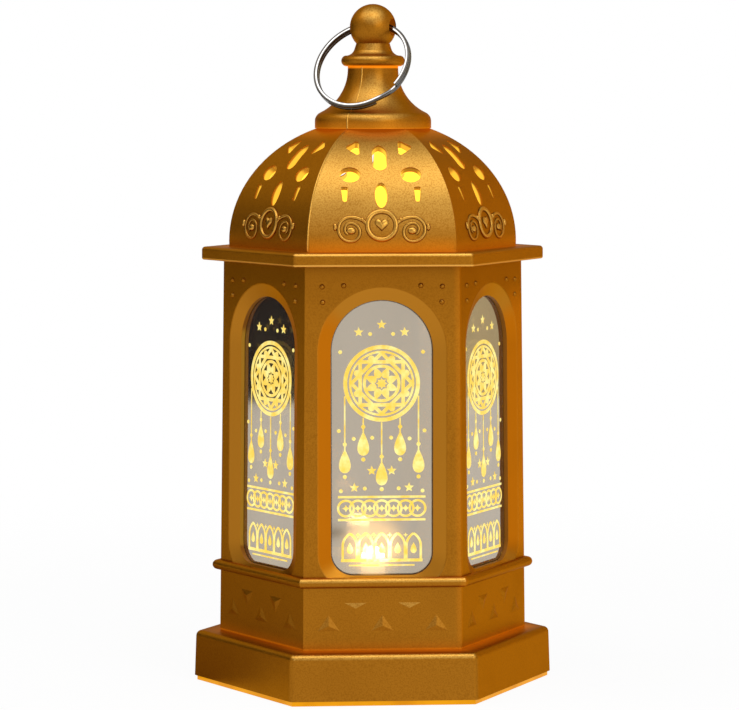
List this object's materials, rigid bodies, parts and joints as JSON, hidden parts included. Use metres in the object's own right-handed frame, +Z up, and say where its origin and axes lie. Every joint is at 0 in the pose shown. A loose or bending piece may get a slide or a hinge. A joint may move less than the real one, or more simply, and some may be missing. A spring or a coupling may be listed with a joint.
{
  "type": "ramadan fanous lantern",
  "caption": "Six-sided tabletop lantern with arched printed windows, a pierced dome, a spire with a hanging ring, and a battery lamp inside the base.",
  "frame": {"origin": "centre of the flat underside that the lantern stands on", "axes": "+Z up along the lantern's axis, -Y out of the front window, corners of the hexagon on +X and -X"},
  "size_m": [0.0744, 0.0646, 0.14],
  "materials": {
    "gold_shell": "satin gold paint on amber plastic",
    "amber_plastic": "translucent amber plastic",
    "half_mirror_pane": "half-mirrored acrylic, printed",
    "ring_steel": "nickel-plated steel",
    "screw_steel": "zinc-plated steel",
    "contact_metal": "nickel-plated strip",
    "cell_can": "steel can",
    "switch_case": "tinned steel case",
    "switch_knob": "black plastic",
    "deck_white": "white plastic",
    "board_green": "solder mask",
    "lamp_warm": "clear warm lamp",
    "resistor_body": "lacquer",
    "wire_red": "wire insulation",
    "wire_black": "wire insulation"
  },
  "bodies": {
    "lantern": {"roof_shell": "gold_shell", "window_cage": "gold_shell", "plinth": "gold_shell", "bottom_cover": "amber_plastic", "window_pane_1": "half_mirror_pane", "window_pane_2": "half_mirror_pane", "window_pane_3": "half_mirror_pane", "window_pane_4": "half_mirror_pane", "window_pane_5": "half_mirror_pane", "window_pane_6": "half_mirror_pane", "base_screws": "screw_steel", "switch_screws": "screw_steel", "board_screws": "screw_steel", "contact_positive": "contact_metal", "contact_negative": "contact_metal", "battery_cells": "cell_can", "switch_housing": "switch_case", "led_deck": "deck_white", "led_board": "board_green", "led_bulb": "lamp_warm", "led_resistor": "resistor_body", "wire_positive": "wire_red", "wire_switched": "wire_red", "wire_negative": "wire_black"},
    "ring": {"hanging_ring": "ring_steel"},
    "slider": {"switch_slider": "switch_knob"},
    "door": {"battery_door": "amber_plastic"}
  },
  "joints": [
    {"name": "ring_swing", "type": "hinge", "parent": "lantern", "child": "ring", "pos_m": [0, 0, 0.13521], "axis": [-0.8746, 0.4848, 0], "range_deg": [0, 293]},
    {"name": "switch_slide", "type": "slide", "parent": "lantern", "child": "slider", "axis": [1, 0, 0], "range_m": [0, 0.002]},
    {"name": "door_slide", "type": "slide", "parent": "lantern", "child": "door", "axis": [1, 0, 0], "range_m": [0, 0.004]}
  ]
}
